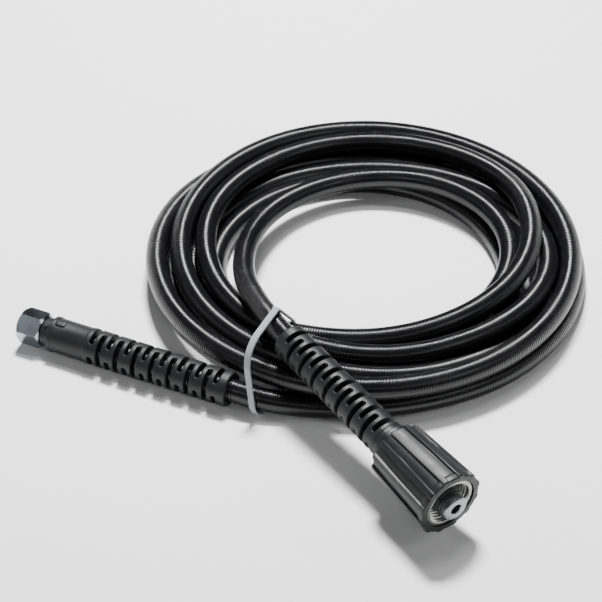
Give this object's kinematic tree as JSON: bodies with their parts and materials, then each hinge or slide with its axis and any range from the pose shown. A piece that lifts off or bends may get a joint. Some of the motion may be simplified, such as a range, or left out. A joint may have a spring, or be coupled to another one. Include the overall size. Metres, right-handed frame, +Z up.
{
  "type": "pressure washer hose",
  "caption": "Coiled black high-pressure hose held by a strap, with slotted bend restrictors, a hex fitting at one end and a hand-tightened screw coupling at the other.",
  "frame": {"origin": "floor point under the middle of the whole object, hose and fittings together", "axes": "+Z up from the floor that the coil lies on; +Y away from the viewer, from the screw coupling to the far side of the coil; +X to the right, from the hex fitting to the far side of the coil"},
  "size_m": [0.3204, 0.3456, 0.0473],
  "materials": {
    "hose_rubber": "black extruded hose cover, half gloss with fine cross ridges",
    "moulded_plastic": "black moulded plastic, satin",
    "zinc_plated_steel": "turned steel, bluish zinc plating",
    "bright_steel": "bright turned steel",
    "insert_metal": "silver-grey plated metal with a cut thread",
    "seal_rubber": "matt black seal rubber",
    "tie_plastic": "light grey flexible plastic strap"
  },
  "bodies": {
    "root": {"hose_coil": "hose_rubber", "hose_tail_hex_end": "hose_rubber", "hose_tail_coupling_end": "hose_rubber", "tie": "tie_plastic", "bend_restrictor_hex_end": "moulded_plastic", "bend_restrictor_coupling_end": "moulded_plastic", "hex_fitting": "zinc_plated_steel", "nipple": "bright_steel", "o_ring": "seal_rubber"},
    "coupling_nut": {"handwheel": "moulded_plastic", "threaded_insert": "insert_metal"}
  },
  "joints": [
    {"name": "coupling_spin", "type": "hinge", "parent": "root", "child": "coupling_nut", "pos_m": [0.06971, -0.16285, 0.025], "axis": [0.5757, -0.813, -0.0872], "continuous": true}
  ]
}
